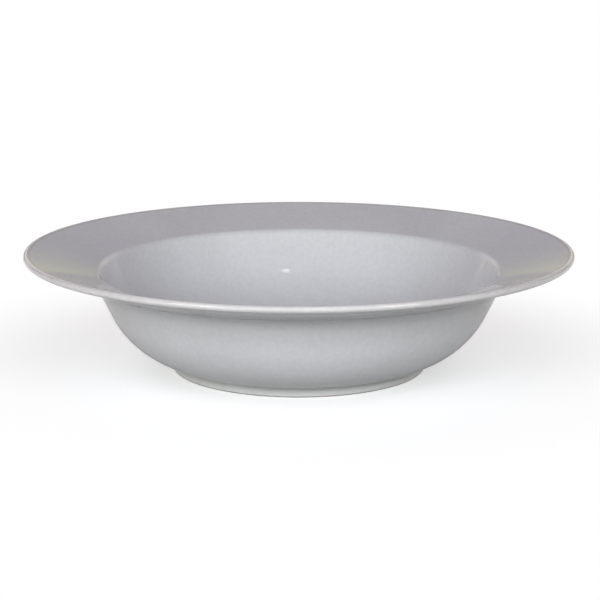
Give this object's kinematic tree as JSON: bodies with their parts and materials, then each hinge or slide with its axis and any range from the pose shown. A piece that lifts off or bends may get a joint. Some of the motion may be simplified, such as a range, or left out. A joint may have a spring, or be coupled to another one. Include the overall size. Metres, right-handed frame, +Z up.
{
  "type": "rimmed salad bowl",
  "caption": "Round deep bowl with a broad sloping rim, a rounded rim edge and a low foot ring, in pale glazed ceramic, for serving salad.",
  "frame": {"origin": "centre of the foot ring's standing face, on the table", "axes": "+Z up along the bowl's axis of rotation, out of the mouth; X and Y are alike"},
  "size_m": [0.27, 0.27, 0.06],
  "materials": {
    "glaze": "gloss",
    "edge_glaze": "gloss, a little thinner and warmer over the edge",
    "foot_glaze": "gloss, with a bare ground band where it stands"
  },
  "bodies": {
    "root": {"well_floor": "glaze", "well_belly": "glaze", "well_wall": "glaze", "rim_flange": "glaze", "rim_bead": "edge_glaze", "foot_ring": "foot_glaze"}
  },
  "joints": []
}
